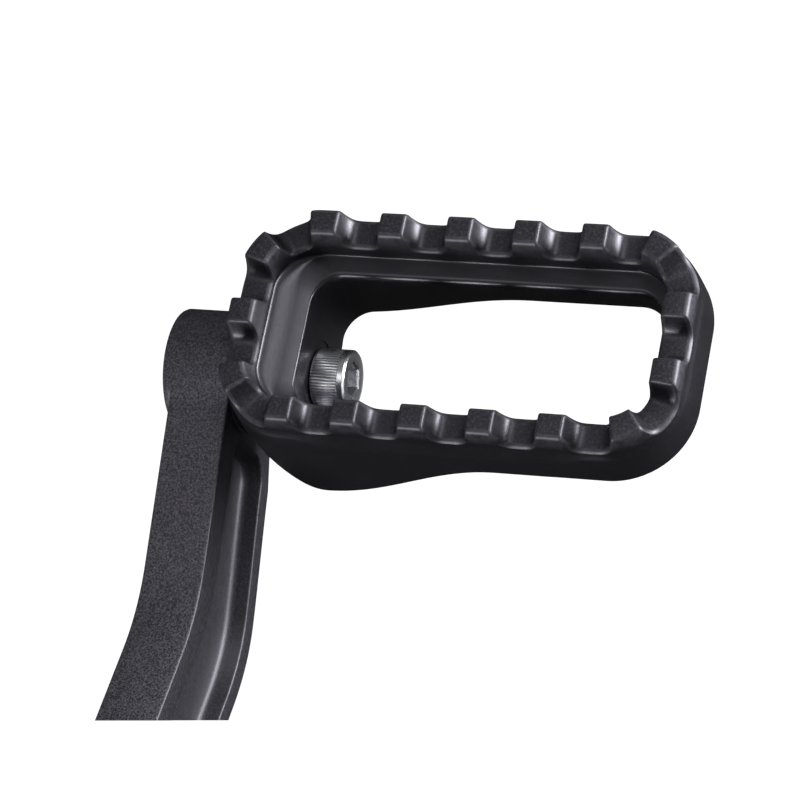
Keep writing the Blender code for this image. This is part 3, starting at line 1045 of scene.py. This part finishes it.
@dataclass
class CapScrew:
    """The M6 socket head cap screw that holds the pad."""

    axis: Vector
    seat: float
    finish: PlatedSteel = field(default_factory=PlatedSteel)
    seat_gap: float = 0.3
    diameter: float = 6.0
    root_diameter: float = 5.4
    length: float = 22.0
    thread_pitch: float = 1.0
    thread_drops: Span = (0.32, 0.35)
    thread_tip: Span = (0.5, 0.35)
    thread_flanks: tuple[float, float, float] = (0.42, 0.55, 0.97)
    head_diameter: float = 10.0
    head_height: float = 6.0
    head_chamfer: float = 0.32
    land: float = 0.95
    ribs: int = 60
    per_rib: int = 4
    rib_depth: float = 0.13
    # painted shade in the knurl's valleys
    rib_soil: float = 0.4
    socket_width: float = 5.0
    socket_depth: float = 3.2
    socket_limit: float = 0.63
    crease: float = 33.0

    def sides(self) -> int:
        """How many points a ring of the head has."""
        return self.ribs * self.per_rib

    def turn(self, draft: Draft, x: float, radius: float, soil: float = 0.0,
             ribbed: bool = False) -> list[int]:
        """Adds one ring of the screw.

        Args:
            draft: The mesh in the making.
            x: The ring's place, from the seat outwards.
            radius: Its radius.
            soil: How dull the plating is there, and how much shade is painted on it.
            ribbed: Whether the knurl cuts it.

        Returns:
            The ring's point numbers.
        """
        cuts = [0.0] * self.sides()
        if ribbed:
            cuts = [0.5 - 0.5 * math.cos(2.0 * math.pi * (k % self.per_rib) / self.per_rib)
                    for k in range(self.sides())]
        return draft.ring(around(x, [radius - self.rib_depth * cut for cut in cuts]),
                          soil=[max(soil, self.rib_soil * cut) for cut in cuts])

    def hexagon(self, draft: Draft, x: float, scale: float, soil: float) -> list[int]:
        """Adds one ring of the hexagon socket.

        Args:
            draft: The mesh in the making.
            x: The ring's place.
            scale: Its size against the socket's.
            soil: How dull the plating is there, and how much shade is painted on it.

        Returns:
            The ring's point numbers.
        """
        radii = []
        for k in range(self.sides()):
            a = 2.0 * math.pi * k / self.sides()
            off = (a + math.pi / 6.0) % (math.pi / 3.0) - math.pi / 6.0
            radii.append(min(self.socket_width / 2.0 * scale / math.cos(off),
                             self.socket_width * self.socket_limit))
        return draft.ring(around(x, radii), soil=[soil] * self.sides())

    def thread(self) -> list[tuple[float, float]]:
        """Draws the threaded end's outline.

        Returns:
            (x, radius) pairs from its tip to its plain part.
        """
        crest = self.diameter / 2.0 - self.thread_drops[0]
        root = self.root_diameter / 2.0 - self.thread_drops[1]
        taper, slope = self.thread_tip
        up, over, down = self.thread_flanks
        x = -self.length + taper
        line = [(-self.length, root - slope), (x, root)]
        while x + self.thread_pitch < -self.seat:
            line += [(x + up, crest), (x + over, crest), (x + down, root)]
            x += self.thread_pitch
        line += [(-self.seat, root), (-self.seat + slope, self.diameter / 2.0)]
        return line

    def build(self) -> bpy.types.Object:
        """Makes the screw.

        Returns:
            The screw.
        """
        draft = Draft()
        base = self.seat_gap
        shank = self.diameter / 2.0
        head = self.head_diameter / 2.0
        top = base + self.head_height
        brink = top - self.head_chamfer
        land = brink - self.land
        face = head - self.head_chamfer
        floor = top - self.socket_depth
        # place, radius, dullness with painted shade and, where it is cut, the knurl
        turns = [(base - 0.02, shank, 0.5), (base, shank + 0.1, 0.5), (base, head - 0.3, 0.4),
                 (base + 0.06, head - 0.16, 0.2), (base + 0.32, head - 0.02, 0.1, True),
                 (base + 0.5, head, 0.0, True), (land - 0.14, head, 0.0, True),
                 (land, head - 0.05), (land + 0.06, head), (brink - 0.03, head),
                 (brink, head - 0.02), (top - 0.03, face + 0.02), (top, face - 0.03, 0.6),
                 (top - 0.07, face - 0.22, 1.0), (top - 0.08, face - 0.5, 0.8)]
        # place, size against the socket's and dullness with painted shade
        hexes = [(top - 0.08, 1.14, 0.35), (top - 0.10, 1.10, 0.0), (top - 0.42, 1.0, 0.0),
                 (top - 0.5, 1.0, 0.5), (floor, 1.0, 1.0)]
        drill = [(floor - 0.1, self.socket_width / 2.0 - 0.2, 1.0), (floor - 0.9, 0.1, 1.0)]
        rings = [self.turn(draft, x, r, 0.5) for x, r in self.thread()]
        rings += [self.turn(draft, *row) for row in turns]
        rings += [self.hexagon(draft, *row) for row in hexes]
        rings += [self.turn(draft, *row) for row in drill]
        draft.bridge(rings)
        draft.cap(rings[0])
        draft.cap(rings[-1])
        screw = draft.finish("cap_screw", self.axis + Vector((self.seat, 0.0, 0.0)) * MM)
        screw.data.set_sharp_from_angle(angle=math.radians(self.crease))
        return screw

    def dress(self, screw: bpy.types.Object) -> None:
        """Gives the screw its finish and its place on the model.

        Args:
            screw: The screw.
        """
        screw.data.materials.append(self.finish.make())
        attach(screw, "root")
        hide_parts("pad_screw")
        LOG.info("screw: %d ribs, %d faces", self.ribs, len(screw.data.polygons))


@dataclass
class LeverArm:
    """The forged arm of I section with its boss, cut off plainly at its end."""

    axis: Vector
    finish: CharcoalCoat = field(default_factory=CharcoalCoat)
    seat_gap: float = 0.3
    inset: float = 0.2
    thickness: float = 10.5
    edge_round: float = 0.45
    top_at_boss: float = 7.3
    boss_blend: float = 1.5
    root_reach: float = 7.0
    bend_reach: float = 43.0
    top_at_bend: float = 0.9
    outer_slope: float = 0.33
    bend_length: float = 15.0
    root_end: float = 14.0
    depth_at_root: float = 23.7
    depth_at_bend: float = 26.18
    recess_depth: float = 3.4
    recess_draft: float = 0.7
    top_flange: float = 6.3
    bottom_flange: float = 3.9
    recess_start: float = 10.6
    recess_corner: float = 3.0
    recess_run: float = 3.4
    recess_ramp: float = 1.1
    half_web: float = 1.8
    flange_rounds: Span = (0.35, 1.45)
    flange_span: Span = (34.0, 58.0)
    loft_steps: tuple[int, int, int] = (36, 20, 90)
    loft_end: float = 75.0
    end_reach: float = 61.17
    end_tilt: float = 18.4
    end_skew: float = 5.6
    boss_diameter: float = 20.3
    boss_length: float = 12.1
    boss_edge: float = 0.5
    boss_break: float = 0.15
    # the coat's grain by face, which also paints the upper edge and boss paler and the sides
    # darker as painted light and shade
    boss_coarseness: float = 0.8
    side_coarseness: float = 0.1
    coarse_band: float = 1.2
    coarse_span: Span = (0.4, 0.9)
    hole_diameter: float = 6.0
    crease: float = 38.0

    def top(self, reach: float) -> float:
        """Finds the height of the upper edge.

        Args:
            reach: The distance from the screw's axis.

        Returns:
            The height there.
        """
        slope = (self.top_at_bend - self.top_at_boss) / (self.bend_reach - self.root_reach)
        ahead = max(reach, 3.0) - self.bend_reach
        spread = self.bend_length / 2.0
        change = self.outer_slope - slope
        line = self.top_at_bend + slope * ahead
        radius = self.boss_diameter / 2.0 - 0.12
        if reach < radius:
            # the bar's upper edge runs softly into the round of the boss
            boss = math.sqrt(radius * radius - reach * reach)
            share = min(max(0.5 + 0.5 * (line - boss) / self.boss_blend, 0.0), 1.0)
            return boss + (line - boss) * share + self.boss_blend * share * (1.0 - share)
        if ahead <= -spread:
            return line
        if ahead >= spread:
            return line + change * ahead
        return line + change * (ahead + spread) ** 2 / (4.0 * spread)

    def depth(self, reach: float) -> float:
        """Height of the bar from its lower to its upper edge."""
        return self.depth_at_root + (self.depth_at_bend - self.depth_at_root) \
            * smoothstep(reach, self.root_reach, self.bend_reach)

    def root(self) -> tuple[float, float]:
        """Finds where the lower edge touches the boss.

        Returns:
            The place, as (reach, height).
        """
        radius = self.boss_diameter / 2.0 - 0.1
        height = self.top(self.root_end) - self.depth(self.root_end)
        angle = math.atan2(height, self.root_end) \
            - math.acos(radius / math.hypot(self.root_end, height))
        return radius * math.cos(angle), radius * math.sin(angle)

    def bottom(self, reach: float) -> float:
        """Finds the height of the lower edge.

        Args:
            reach: The distance from the screw's axis.

        Returns:
            The height there.
        """
        if reach >= self.root_end:
            return self.top(reach) - self.depth(reach)
        start, height = self.root()
        end = self.top(self.root_end) - self.depth(self.root_end)
        return height + (end - height) * (reach - start) / (self.root_end - start)

    def side(self) -> float:
        """Where the bar's side is that faces the pad."""
        return -self.seat_gap - self.inset

    def end_normal(self) -> Vector:
        """The outward normal of the plain end."""
        turn = Matrix.Rotation(math.radians(self.end_skew), 3, 'Z') \
            @ Matrix.Rotation(math.radians(self.end_tilt), 3, 'X')
        return turn @ Vector((0.0, -1.0, 0.0))

    def section(self, reach: float) -> list[Corner]:
        """The I section's corners at one reach.

        Args:
            reach: The distance from the screw's axis.

        Returns:
            The corners, with their roundings.
        """
        face = self.side()
        top = self.top(reach)
        bottom = self.bottom(reach)
        middle = (top + bottom) / 2.0
        into = max(reach - self.recess_start, 0.0)
        cut = self.recess_depth * smoothstep(into, 0.0, self.recess_ramp)
        lean = self.recess_draft
        r = self.recess_corner
        short = r - math.sqrt(r * r - max(r - into, 0.0) ** 2)
        high = max(top - self.top_flange - short, middle + self.half_web)
        low = min(bottom + self.bottom_flange + short, middle - self.half_web)
        e = self.edge_round
        leg = math.hypot(cut, lean)
        tight, wide = self.flange_rounds
        soft = tight + (wide - tight) * smoothstep(reach, *self.flange_span)
        side = [(0.0, top, e, 5), (0.0, high, min(soft, leg * 0.45), 4),
                (-cut, high - lean, leg * 0.4, 5), (-cut, low + lean, leg * 0.4, 5),
                (0.0, low, min(0.4, leg * 0.45), 4), (0.0, bottom, e, 5)]
        corners = [Corner(Vector((face + x, -reach, z)), c, c, n) for x, z, c, n in side]
        corners += [Corner(Vector((face - self.thickness - x, -reach, z)), c, c, n)
                    for x, z, c, n in reversed(side)]
        return corners

    def build(self) -> bpy.types.Object:
        """Makes the arm with its boss and screw hole.

        Returns:
            The arm.
        """
        start, recess = self.root()[0], self.recess_start
        bare, run_in, rest = self.loft_steps
        length = self.loft_end - recess - self.recess_run
        reaches = [start + (recess - start) * k / bare for k in range(bare)]
        reaches += [recess + self.recess_run * (k / run_in) ** 1.6 for k in range(run_in)]
        reaches += [recess + self.recess_run + length * k / rest for k in range(rest + 1)]
        draft = Draft()
        rings = [draft.ring(rounded(self.section(reach))) for reach in reaches]
        draft.bridge(rings)
        draft.cap(rings[0])
        draft.cap(rings[-1])
        arm = draft.finish("lever_arm_forging", self.axis)
        self._cut_end(arm)
        far = -self.seat_gap - self.boss_length
        radius = self.boss_diameter / 2.0
        e = self.boss_edge
        boss = turned("lever_boss", [(far, radius - e), (far + e * 0.3, radius - e * 0.3),
                                     (far + e, radius),
                                     (-self.seat_gap - self.boss_break, radius),
                                     (-self.seat_gap, radius - self.boss_break)],
                      160, self.axis)
        hole = turned("lever_hole", [(far - 3.0, self.hole_diameter / 2.0),
                                     (3.0, self.hole_diameter / 2.0)], 64, self.axis)
        combine(arm, [(boss, Operation.ADD), (hole, Operation.CUT)], self.crease)
        # the grain share also paints the upward faces paler and the sides darker, as painted
        # light and shade
        grain = arm.data.attributes.new("grain", 'FLOAT', 'FACE')
        grain.data.foreach_set("value", [self.coarseness_and_painted_light(face.center / MM, face.normal.z)
                                         for face in arm.data.polygons])
        return arm

    def coarseness_and_painted_light(self, p: Vector, upward: float) -> float:
        """How rough-grained the coat is on a face; this also sets the painted light and shade
        on it.

        Args:
            p: The face's middle.
            upward: The height of its normal.

        Returns:
            Most on the upper edge, nearly as much on the boss, little elsewhere.
        """
        within = math.hypot(p.y, p.z) < self.boss_diameter / 2.0 + 0.2
        beyond_bar = p.x < self.side() - self.thickness - 0.1
        if within and (beyond_bar or -p.y < self.root_reach):
            return self.boss_coarseness
        least = self.side_coarseness
        if self.top(-p.y) - p.z > self.coarse_band:
            return least
        return least + (1.0 - least) * smoothstep(upward, *self.coarse_span)

    def _cut_end(self, arm: bpy.types.Object) -> None:
        """Cuts the arm off at its plain end.

        Args:
            arm: The arm, longer than it should be.
        """
        bm = bmesh.new()
        bm.from_mesh(arm.data)
        middle = Vector((self.side() - self.thickness / 2.0, -self.end_reach, 0.0)) * MM
        cut = bmesh.ops.bisect_plane(bm, geom=bm.verts[:] + bm.edges[:] + bm.faces[:],
                                     plane_co=middle, plane_no=self.end_normal(),
                                     clear_outer=True)
        edges = [g for g in cut["geom_cut"] if isinstance(g, bmesh.types.BMEdge)]
        bmesh.ops.holes_fill(bm, edges=edges)
        bmesh.ops.recalc_face_normals(bm, faces=bm.faces)
        bm.to_mesh(arm.data)
        bm.free()

    def dress(self, arm: bpy.types.Object) -> None:
        """Gives the arm its finish and its place on the model.

        Args:
            arm: The arm.
        """
        arm.data.materials.clear()
        arm.data.materials.append(self.finish.make())
        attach(arm, "root")
        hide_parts("lever_arm")
        LOG.info("arm: %d faces", len(arm.data.polygons))


# Studio


@dataclass(frozen=True)
class SoftBox:
    """A square lamp that faces the pad, in metres and watts."""

    name: str
    direction: tuple[float, float, float]
    distance: float
    size: float
    power: float

    def hang(self, target: Vector) -> None:
        """Hangs the lamp.

        Args:
            target: The point that it faces.
        """
        data = bpy.data.lights.new(self.name, 'AREA')
        data.size = self.size
        data.energy = self.power
        lamp = bpy.data.objects.new(self.name, data)
        away = Vector(self.direction).normalized()
        lamp.location = target + away * self.distance
        lamp.rotation_euler = (-away).to_track_quat('-Z', 'Y').to_euler()
        lamp.visible_camera = False
        bpy.context.scene.collection.objects.link(lamp)


@dataclass
class Studio:
    """Camera, lamps, surroundings and floor.

    The camera's place is in millimetres from the target, the floor's drop in metres.
    """

    target: Vector
    lens: float = 168.66
    place: tuple[float, float, float] = (190.8, -220.6, 518.72)
    right: tuple[float, float, float] = (0.94105, 0.18583, -0.28265)
    down: tuple[float, float, float] = (0.06414, -0.91845, -0.3903)
    ahead: tuple[float, float, float] = (-0.33213, 0.34917, -0.87623)
    boxes: tuple[SoftBox, ...] = (
        SoftBox("side_box", (0.93, 0.36, 0.09), 0.62, 0.38, 11.5),
        SoftBox("high_side_box", (0.26, 0.35, 0.90), 0.62, 0.20, 0.66),
        SoftBox("top_box", (-0.33, -0.22, 0.92), 0.62, 0.26, 0.30),
        SoftBox("front_box", (-0.33, -0.93, 0.15), 0.50, 0.10, 1.5))
    white: float = 1.0
    around: float = 0.30
    mirrored: float = 0.18
    floor_mirrored: float = 0.02
    floor_glow: float = 1.1
    floor_cover: float = 0.9
    floor_half: float = 3000.0
    floor_drop: float = 0.28

    def set_camera(self) -> None:
        """Puts the camera where the photograph was taken from."""
        data = bpy.data.cameras.new("camera")
        data.sensor_width = 36.0
        data.lens = self.lens
        data.clip_start = 0.01
        camera = bpy.data.objects.new("camera", data)
        right, down, ahead = Vector(self.right), Vector(self.down), Vector(self.ahead)
        turn = Matrix((right, -down, -ahead)).transposed().to_4x4()
        camera.matrix_world = Matrix.Translation(self.target + Vector(self.place) * MM) @ turn
        bpy.context.scene.collection.objects.link(camera)
        bpy.context.scene.camera = camera

    def light_up(self) -> None:
        """Hangs the lamps and sets the soft surroundings."""
        for box in self.boxes:
            box.hang(self.target)
        world = bpy.data.worlds.new("studio")
        world.use_nodes = True
        bpy.context.scene.world = world
        bench = NodeBench.over(world.node_tree)
        level = self.around + bench.ray("Is Camera Ray") * (self.white - self.around) \
            + bench.ray("Is Glossy Ray") * (self.mirrored - self.around)
        back = world.node_tree.nodes["Background"]
        bench.feed(back.inputs["Strength"], level)
        back.inputs["Color"].default_value = (1.0, 1.0, 1.0, 1.0)

    def lay_floor(self) -> bpy.types.Object:
        """Lays the pale floor below the part.

        Returns:
            The floor.
        """
        draft = Draft()
        low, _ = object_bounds()
        half = self.floor_half
        draft.cap(draft.ring([Vector((x * half, y * half, 0.0))
                              for x, y in ((-1, -1), (1, -1), (1, 1), (-1, 1))]))
        floor = draft.finish("studio_floor", Vector((0.0, 0.0, low[2] - self.floor_drop)))
        bench = NodeBench("pale_floor")
        cloud = bench.noise(60.0).between(0.3, 0.7)
        bench.feed(bench.shader.inputs["Base Color"],
                   bench.mixed(cloud, (0.80, 0.80, 0.80), (0.82, 0.82, 0.82)))
        bench.constants(Roughness=0.9, Specular_IOR_Level=0.0)
        camera, glossy = bench.ray("Is Camera Ray"), bench.ray("Is Glossy Ray")
        glow = bench.add('ShaderNodeEmission')
        bench.feed(glow.inputs["Strength"],
                   camera * self.floor_glow + glossy * self.floor_mirrored)
        blend = bench.add('ShaderNodeMixShader', None,
                          {0: camera * self.floor_cover + glossy,
                           1: bench.shader.outputs[0], 2: glow.outputs[0]})
        out = next(n for n in bench.tree.nodes if n.type == 'OUTPUT_MATERIAL')
        bench.tree.links.new(blend.outputs[0], out.inputs["Surface"])
        floor.data.materials.append(bench.material)
        floor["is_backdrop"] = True
        return floor


def main() -> None:
    """Builds the part's pieces and its studio."""
    logging.basicConfig(level=logging.INFO, format="%(message)s")
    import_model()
    bpy.context.scene.view_settings.view_transform = 'Standard'
    pad = PedalPad()
    screw = CapScrew(axis=pad.screw_axis(), seat=pad.seat())
    arm = LeverArm(axis=pad.screw_axis())
    for piece in (pad, screw, arm):
        piece.dress(piece.build())
    studio = Studio(target=pad.origin())
    studio.set_camera()
    studio.light_up()
    studio.lay_floor()


if __name__ == "__main__":
    main()
